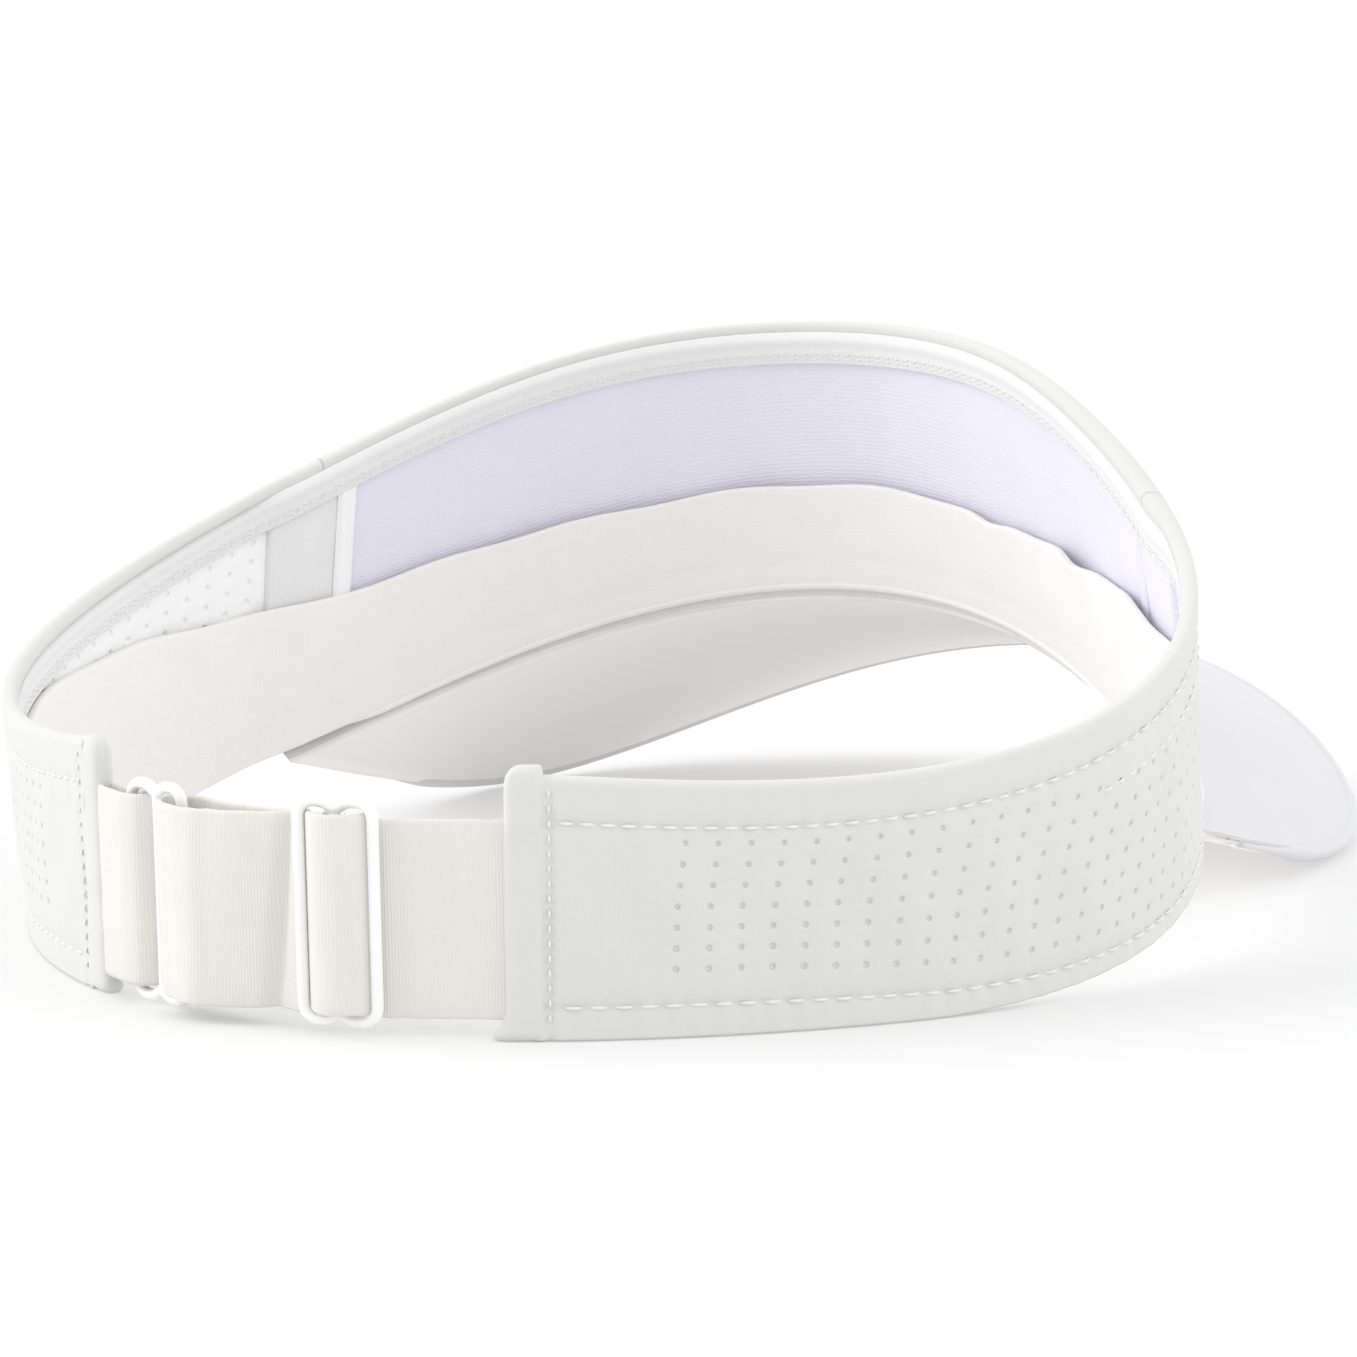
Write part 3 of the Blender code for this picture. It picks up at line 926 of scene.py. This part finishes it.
def seam_tape(side):
    """Narrow folded roll over the seam between front and side; the right one lies flatter."""
    middle = arc_at(SEAM_ANGLE - 3.0)
    face, bulge = (3.6, 0.14) if side > 0 else (3.75, 0.35)
    material, slot = ("lining", "lining_fabric") if side > 0 else ("mesh", "tape_fabric")

    edges = []
    for across, deep in oval(32, 0.85):
        wide = 1.9 * across
        angle = angle_at(side * (middle + wide))
        folds = 0.3 * bell(wide + 0.9, 0.5) + 0.3 * bell(wide - 0.9, 0.5)
        out = -face - bulge * deep - (folds if deep > 0 else 0.0)
        top = wall_height(angle) - FACING_DROP - FACING_TALL + 0.6
        edges.append([wall_point(angle, up, out)
                      for up in spread(sweatband_top(angle) - 4.0, top, 40)])
    tube(f"seam_fold_{hand(side)}", list(zip(*edges)), spread(0.0, SEAM_CLOTH, 40), material,
         slot, [f"seam_tape_{hand(side)}"])


def seam_allowance(side):
    """Plain turning behind the seam, which ends in a soft raised edge on the side panel."""
    start = arc_at(SEAM_ANGLE - 2.6)
    end = arc_at(SEAM_ANGLE + 5.6)
    material, slot = ("lining", "lining_fabric") if side > 0 else ("tape", "tape_fabric")
    foot, drop, back = 2.0, 4.4, -MESH_FACE - 0.03

    def section(arc, angle):
        angle *= side
        top = wall_height(angle) - drop
        front = inner_face(angle) + 0.12
        left = min((end - arc) / 0.6, 1.0)
        front += (1.0 - sqrt(left * (2.0 - left))) * (-MESH_FACE - 0.05 - front)
        corners = [(up, front - 0.05 * sin(up * 0.5 + arc)) for up in spread(foot, top, 14)]
        return wall_section(angle, corners + [(top, back), (foot, back)])

    arcs = [*spread(start, end - 0.6, 24), end - 0.35, end - 0.15, end]
    made = loft(f"seam_allowance_{hand(side)}", arcs, section, material, slot)
    declare_cut(side * start, side * end, -drop - foot)


SWEATBAND_TOP = (
    (-128, 25.0), (-100, 31.0), (-88, 30.5), (-79, 29.0), (-63, 24.3), (-42, 21.4), (-27, 18.6),
    (-12, 17.8), (15, 17.8), (26, 18.2), (35, 21.4), (50, 25.4), (60, 30.0), (66, 31.0), (80, 30.3),
    (100, 31.0), (128, 25.0),
)


@cache
def sweatband_top(angle):
    """Height of the sweatband's free edge: the band rises towards the sides."""
    angles, heights = zip(*SWEATBAND_TOP)
    near = [angle + shift for shift in range(-6, 7, 2)]
    return float(np.mean(np.interp(near, angles, heights)))


def sweatband_gape(angle):
    """How far the sweatband's free upper edge hangs away from the wall."""
    gape = 0.5 + 0.2 * sin(angle * 0.21) + 0.15 * sin(angle * 0.47 + 1.0)
    for place, size, width in ((22.0, 0.9, 3.4), (41.0, 1.0, 3.6), (61.0, 1.0, 4.5),
                               (-8.0, 1.0, 9.0), (-38.0, 0.8, 10.0)):
        gape += size * bell(angle - place, width)
    return gape * (1.0 - 0.85 * smooth_step(abs(angle), 80.0, 105.0))


def sweatband():
    """Soft towelling band round the inside of the lower edge, free along its top."""

    def section(arc, angle):
        top = sweatband_top(angle)
        face = inner_face(angle) + 0.05
        foot = 0.5 - 0.9 * (1.0 - smooth_step(abs(angle), 54.0, 70.0))
        outline = pillow(foot, top, face - 1.7, face, 0.62, 6)
        corners = []
        for (up, out), (after, _) in zip(outline, outline[1:] + outline[:1]):
            steps = 14 if abs(after - up) > 3 else 1
            corners += [(up + (after - up) * step / steps, out) for step in range(steps)]
        gape = sweatband_gape(angle)
        dip = 0.25 * sin(angle * 0.35)
        dip -= 0.9 * (bell(angle - 22.5, 3.0) + bell(angle - 42.0, 3.0))
        points = []
        for up, out in corners:
            share = up / top
            hang = gape * max(0.0, (share - 0.35) / 0.65) ** 1.6
            if out < face - 0.8:
                hang += 0.45 * sin(pi * share) - 0.3 * bell(up - 4.2, 0.7)
            points.append(wall_point(angle, up + dip * share ** 2, out - hang))
        return points

    reach = panel_end(0.6)
    made = loft("sweatband_soft", spread(-reach, reach, 460), section, "sweatband",
                "sweatband_fabric", ["sweatband"])


# ---- the brim ----

def brim_root(part):
    """Where the brim starts under the band; part runs from -1 to 1 across it."""
    angle = BRIM_ANGLE * part
    drop = BRIM_DROP + (BRIM_END_DROP - BRIM_DROP) * part * part
    return wall_point(angle, 0.0, -BRIM_INSET) - Vector((0, 0, drop))


def brim_heading(part):
    """Direction in which the brim runs forward and down from its root."""
    spread_angle = radians(BRIM_SPREAD) * part
    pitch = radians(BRIM_PITCH + (BRIM_SIDE_PITCH - BRIM_PITCH) * part * part)
    level = Vector((-sin(spread_angle), -cos(spread_angle), 0.0))
    return level * cos(pitch) - Vector((0, 0, sin(pitch)))


def brim_reach(part):
    return BRIM_DEPTH * max(1.0 - abs(part) ** BRIM_SQUARE, 0.0) ** BRIM_ROUND


def brim_at(part, run):
    """Middle surface of the brim, run being 0 at the root and 1 at the front edge."""
    return brim_root(part) + brim_heading(part) * brim_reach(part) * run


def brim_normal(part, run):
    """Upward direction square to the brim's surface."""
    across = brim_at(part + 0.002, run) - brim_at(part - 0.002, run)
    if abs(part) > 0.99:
        across = brim_root(part + 0.002) - brim_root(part - 0.002)
    return across.cross(brim_heading(part)).normalized()


def even_parts(count):
    """Values of part that space the brim's front edge evenly."""
    fine = [sin(radians(angle / 4)) for angle in range(-360, 361)]
    fine = [copysign(1 - (1 - abs(value)) ** 1.5, value) * 0.9995 for value in fine]
    lengths = path_lengths([brim_at(part, 1.0) for part in fine])
    goals = spread(0.0, lengths[-1], count)
    return [float(value) for value in np.interp(goals, lengths, fine)]


def brim_sheet(face, material, slot, low, high, parts):
    """One cover of the brim, between two heights above its middle surface."""
    sections = []
    for part in parts:
        upper, lower = [], []
        for run in spread(0.0, 1.0, 24):
            place = brim_at(part, run)
            lift = brim_normal(part, run)
            upper.append(place + lift * high)
            lower.append(place + lift * low)
        sections.append(upper + lower[::-1])
    alongs = [part * BRIM_CLOTH for part in parts]
    made = tube(f"brim_{face}_fabric", sections, alongs, material, slot,
                [f"brim_{face}_cover"])
    roots = [brim_at(part, 0.0) for part in parts]
    fronts = [brim_at(part, 1.0) for part in parts]
    width, length = (max(values) - min(values) for values in list(zip(*roots, *fronts))[:2])


def brim_edge(parts):
    """Rolled fabric edge round the front of the brim."""
    edge = [brim_at(part, 1.0) for part in parts]
    sections = []
    for step, part in enumerate(parts):
        along = edge[min(step + 1, len(edge) - 1)] - edge[max(step - 1, 0)]
        lift = brim_normal(part, 1.0)
        away = lift.cross(along).normalized()
        size = 0.35 + 0.65 * smooth_step(1.0 - abs(part), 0.0, 0.012)
        sections.append(ring_round(edge[step], away * 1.5 * size,
                                   lift * (BRIM_HALF + 0.22) * size, 20, 0.75, 0.85))
    tube("brim_edge_roll", sections, path_lengths(edge), "brim", "brim_fabric",
         ["brim_binding"])


def root_roll(name, end, taper, place, half, counts, *looks):
    """Roll along the brim's root, thinner at its ends; place(thin) gives its (up, out)."""
    steps, corners = counts

    def section(arc, angle):
        size = 1.0 - 0.9 * smooth_step(abs(angle), end - taper, end)
        return ring_round(wall_point(angle, *place(1.0 - size)), outward(angle) * half[0] * size,
                          Vector((0, 0, half[1] * size)), corners)

    loft(name, spread(-arc_at(end), arc_at(end), steps), section, *looks)


def brim():
    """Covers, edge and seams of the brim; its board stays the solid."""
    parts = even_parts(150)
    brim_sheet("top", "brim", "brim_fabric", BRIM_INSIDE, BRIM_HALF, parts)
    # The underside's material is lightened: painted light under the brim, on top of its own cream
    # colour.
    brim_sheet("under", "under", "brim_under_fabric", -BRIM_HALF, -BRIM_INSIDE, parts)
    brim_edge(parts)
    # Welt where the brim's top meets the front panel, and turned seam inside its root.
    root_roll("brim_welt", BRIM_ANGLE - 1, 5, lambda thin: (0.6, 0.75 - 0.6 * thin),
              (0.8, 1.15), (220, 16), "tape", "tape_fabric", ["brim_seam_piping"])
    root_roll("brim_root_roll", BRIM_ANGLE - 2, 10, lambda thin: (-0.45 + 1.3 * thin, -4.0),
              (1.7, 0.85), (240, 18), "sweatband", "sweatband_fabric")


# ---- the back strap ----

@cache
def strap_frame():
    """Placement of the strap arc's own axis, in millimetres."""
    end = wall_point(END_ANGLE, STRAP_UP, -HEM_THICK / 2)
    back = end.y - sqrt(STRAP_ARC ** 2 - end.x ** 2)
    lean = Matrix.Rotation(radians(-STRAP_TILT), 4, "X")
    return Matrix.Translation(Vector((0.0, back, end.z))) @ lean


def strap_point(along, out, up):
    """Point on the strap's arc; along is positive towards the wearer's right."""
    angle = along / STRAP_ARC
    reach = STRAP_ARC + out
    local = Vector((-reach * sin(angle), reach * cos(angle), up))
    return strap_frame() @ local


def smooth_path(points, steps=14):
    """Rounded line through the points."""
    points = [Vector(point) for point in points]
    padded = [points[0] * 2 - points[1], *points, points[-1] * 2 - points[-2]]
    line = []
    for a, b, c, d in zip(padded, padded[1:], padded[2:], padded[3:]):
        for step in range(steps):
            t = step / steps
            line.append(0.5 * (2 * b + (c - a) * t + (2 * a - 5 * b + 4 * c - d) * t * t
                               + (3 * b - a - 3 * c + d) * t ** 3))
    line.append(points[-1])
    return line


def ribbon(part, points, body, thick=STRAP_THICK, wide=STRAP_WIDE, lean=None, lift=0.0):
    """Elastic on edge along a path of (along, out) points; lean moves a point in or out."""
    line = smooth_path(points)
    alongs = path_lengths(line)
    half = wide / 2
    sections = []
    for step, (place, run) in enumerate(zip(line, alongs)):
        ahead = line[min(step + 1, len(line) - 1)] - line[max(step - 1, 0)]
        across = Vector((-ahead.y, ahead.x)).normalized()
        section = []
        for up, out in ribbon_section(half, thick / 2):
            waver = 0.05 * sin(run * 1.1 + sin(run * 0.37) * 3) * (abs(up) / half) ** 8
            at = place + across * out
            tilt = lean(place.x, up / half) if lean else 0.0
            section.append(strap_point(at.x, at.y + tilt, up + waver + lift))
        sections.append(section)
    return tube(f"{part}_elastic", sections, alongs, "elastic", "elastic", [f"strap_{part}"],
                body)


def ribbon_section(half, deep):
    """Corners of the elastic's section, half high and half deep, with rounded selvedges."""
    levels = spread(-half + 0.5, half - 0.5, 14)
    outer = [(up, deep) for up in levels]
    top = [(half - 0.2, deep * 0.85), (half, deep * 0.35), (half, -deep * 0.35),
           (half - 0.2, -deep * 0.85)]
    inner = [(up, -deep) for up in reversed(levels)]
    foot = [(-up, -out) for up, out in top]
    return outer + top + inner + foot


def loop_outline():
    """Buckle's outline in its own plane, with a dip at each end of the middle bar."""
    half_wide = (BUCKLE_WIDE - BUCKLE_WIRE) / 2
    half_tall = (BUCKLE_TALL - BUCKLE_WIRE) / 2
    flat_wide, flat_tall = half_wide - BUCKLE_CORNER, half_tall - BUCKLE_CORNER
    turns = [radians(turn) for turn in spread(0.0, 90.0, 12)[1:]]
    quarter = [(x, half_tall - BUCKLE_DIP * bell(x, 1.25)) for x in spread(0.0, flat_wide, 14)]
    quarter += [(flat_wide + BUCKLE_CORNER * sin(turn), flat_tall + BUCKLE_CORNER * cos(turn))
                for turn in turns]
    quarter += [(half_wide, z) for z in spread(flat_tall, 0.0, 10)[1:]]
    right = quarter + [(x, -z) for x, z in reversed(quarter[:-1])]
    left = [(-x, z) for x, z in reversed(right)]
    return right + left[1:-1]


def buckle(part, at, out, lift=0.0):
    """Coated wire buckle: a closed loop with a bar across its middle."""
    turn = Matrix.Rotation(at / STRAP_ARC, 4, "Z")
    frame = strap_frame() @ turn @ Matrix.Translation(Vector((0.0, STRAP_ARC + out, lift)))
    deep = Vector((0.0, 0.5, 0.0))
    outline = [Vector((x, 0.0, z)) for x, z in loop_outline()]
    skin = Skin()
    loop = []
    for step, middle in enumerate(outline):
        along = outline[(step + 1) % len(outline)] - outline[step - 1]
        away = Vector((-along.z, 0.0, along.x)).normalized()
        ring = ring_round(middle, away * BUCKLE_WIRE / 2, deep * BUCKLE_WIRE, 16)
        loop.append(skin.row([frame @ point for point in ring], step * 0.5))
    reach = (BUCKLE_TALL - BUCKLE_WIRE) / 2 - BUCKLE_DIP
    bar = []
    for up in spread(-reach, reach, 20):
        flare = Vector((0.5 + 0.175 * bell(reach - abs(up), 1.2), 0.0, 0.0))
        ring = ring_round(Vector((0, 0, up)), flare * BUCKLE_BAR, deep * BUCKLE_BAR, 16)
        bar.append(skin.row([frame @ point for point in ring], up))
    for before, after in [*zip(loop, loop[1:] + loop[:1]), *zip(bar, bar[1:])]:
        skin.band(before, after, closed=True)
    skin.make(f"{part}_wire", "wire", "coated_wire", [part], f"{part}_group")


def strap_reach():
    """Distance along the arc from its middle to the end face of a hem."""
    end = wall_point(END_ANGLE, STRAP_UP, -HEM_THICK / 2)
    return STRAP_ARC * asin(abs(end.x) / STRAP_ARC) - STRAP_GAP


def stretching_run(part, points, fixed, moving, lean=None):
    """Elastic baked in place between the band and the slider, on no body; the places fixed and
    moving are worked out but not used.
    """
    run = ribbon(part, points, None, lean=lean)
    strap_point(fixed, 0, 0) * MM
    strap_point(moving, 0, 0) * MM
    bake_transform(run)


def back_strap():
    """Buckles and elastic, from the left hem round the ring and the slider to the right hem."""
    bars = (BUCKLE_WIDE - BUCKLE_WIRE) / 2
    wrap = BUCKLE_WIRE / 2 + 0.15 + STRAP_THICK / 2
    end = strap_reach()
    buckle("slider", SLIDER_AT, SLIDER_OUT, SLIDER_LIFT)
    buckle("ring", RING_AT, 0.0)

    left = RING_AT - bars
    ribbon("tab", [
        (-end - 1, 0.9), (left - 1.8, 1.7), (left + 0.3, 1.85), (left + 2.4, 1.4),
        (left + 3.4, 0.0), (left + 2.4, -1.3), (left + 0.3, -1.6), (left - 1.8, -1.5),
        (-end - 1, -0.9),
    ], "band", thick=0.8)

    under = SLIDER_OUT - wrap - 0.05
    right_bar = SLIDER_AT + bars
    left_bar = SLIDER_AT - bars
    stretching_run("main_run", [
        (end + 1, 0.0), (right_bar + 8, 0.1), (right_bar + 3, 0.5), (right_bar - 0.5, under),
    ], end, right_bar + 0.5)

    crown = SLIDER_OUT + BUCKLE_BAR / 2 + 1.5 + STRAP_THICK / 2
    ribbon("weave", [
        (right_bar - 0.6, under + 0.1), (right_bar - 1.3, under + 1.3),
        (SLIDER_AT + 2.5, crown - 0.8), (SLIDER_AT + 0.3, crown), (SLIDER_AT - 2.0, crown - 0.5),
        (left_bar + 1.5, under + 1.4), (left_bar + 0.7, under + 0.1),
    ], "slider_group", wide=WEAVE_WIDE, lift=0.9)

    hold = BUCKLE_BAR / 2 + 0.55
    ribbon("end_loop", [
        (SLIDER_AT - 2.6, SLIDER_OUT - 2.2), (SLIDER_AT - 1.3, SLIDER_OUT - 0.9),
        (SLIDER_AT - 1.1, SLIDER_OUT + 0.6), (SLIDER_AT, SLIDER_OUT + hold),
        (SLIDER_AT + hold, SLIDER_OUT), (SLIDER_AT + 0.9, SLIDER_OUT - 1.1),
    ], "slider_group", thick=0.6, wide=WEAVE_WIDE, lift=0.5)

    ring_bar = RING_AT + bars

    def slump(along, share):
        """The run's top edge leans in near the ring, and a slanting crease crosses it."""
        near = bell(along - ring_bar - 5.5, 3.5)
        crease = bell(along - left_bar + 4.0 - 1.5 * share, 1.2)
        sag = smooth_step(share, 0.2, 1.0) + 0.5 * bell(share, 0.7)
        return -sag * near - 1.3 * crease

    stretching_run("outer_run", [
        (left_bar + 0.6, under), (left_bar - 1.3, under + 0.1), (left_bar - 3.2, 0.5),
        (left_bar - 5.5, 0.9), (left_bar - 9.5, 2.2), (ring_bar + 7.6, 3.8),
        (ring_bar + 5.2, 4.8), (ring_bar + 2.8, 4.4), (ring_bar + 0.6, 3.5),
        (ring_bar - 1.3, 2.8), (ring_bar - 2.9, 1.5), (ring_bar - 3.6, 0.1),
    ], ring_bar + 3, left_bar, slump)
    stretching_run("inner_run", [
        (ring_bar - 3.6, -0.1), (ring_bar - 3.1, -1.5), (ring_bar - 1.8, -2.7),
        (ring_bar + 0.2, -3.1), (ring_bar + 2.6, -2.9), (ring_bar + 6, -2.3),
        (left_bar - 4, -1.5), (SLIDER_AT - 3.1, -0.9),
    ], ring_bar + 3, left_bar)


# ---- the scene ----

def camera():
    data = bpy.data.cameras.new("camera")
    data.sensor_width = 36.0
    data.lens = 104.58
    made = put("camera", data)
    made.location = (-0.29431, 0.56332, 0.11260)
    target = Vector((-0.01076, 0.03999, 0.03689))
    made.rotation_euler = (target - made.location).to_track_quat("-Z", "Y").to_euler()
    bpy.context.scene.camera = made


def soft_light(name, direction, strength):
    """Broad even light from far away, in the direction given."""
    data = bpy.data.lights.new(name, "SUN")
    data.energy = strength
    data.angle = radians(LIGHT_SPREAD)
    made = put(name, data)
    made.rotation_euler = Vector(direction).to_track_quat("Z", "Y").to_euler()


def studio():
    """Pale floor, bright even surroundings and two broad lights."""
    mesh = bpy.data.meshes.new("floor")
    corners = [(x * FLOOR_HALF, y * FLOOR_HALF, -FLOOR_GAP)
               for x, y in ((-1, -1), (1, -1), (1, 1), (-1, 1))]
    mesh.from_pydata(corners, [], [(0, 1, 2, 3)])
    mesh.materials.append(floor_paper())
    put("floor", mesh)
    world = bpy.data.worlds.new("surroundings")
    world.use_nodes = True
    background = world.node_tree.nodes["Background"]
    background.inputs["Color"].default_value = (1.0, 1.0, 1.0, 1.0)
    background.inputs["Strength"].default_value = 1.0
    bpy.context.scene.world = world
    soft_light("key_light", (1.3, 0.6, 0.75), 1.3)
    soft_light("fill_light", (-1.2, -0.3, 0.7), 0.62)
    bpy.context.scene.view_settings.view_transform = "Standard"


def main():
    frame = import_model()
    camera()
    studio()
    make_materials()
    board_finish = frame["nodes"]["brim_board"].data.materials
    board_finish.clear()
    board_finish.append(MATERIALS["board"])
    front_shell()
    for side in SIDES:
        side_shell(side)
        side_mesh(side)
        seam_allowance(side)
    for side in SIDES:
        end_hem(side)
    facing()
    lining()
    for side in SIDES:
        seam_tape(side)
    sweatband()
    brim()
    back_strap()
    outer_stitches()
    hem_stitches()
    facing_stitches()


main()
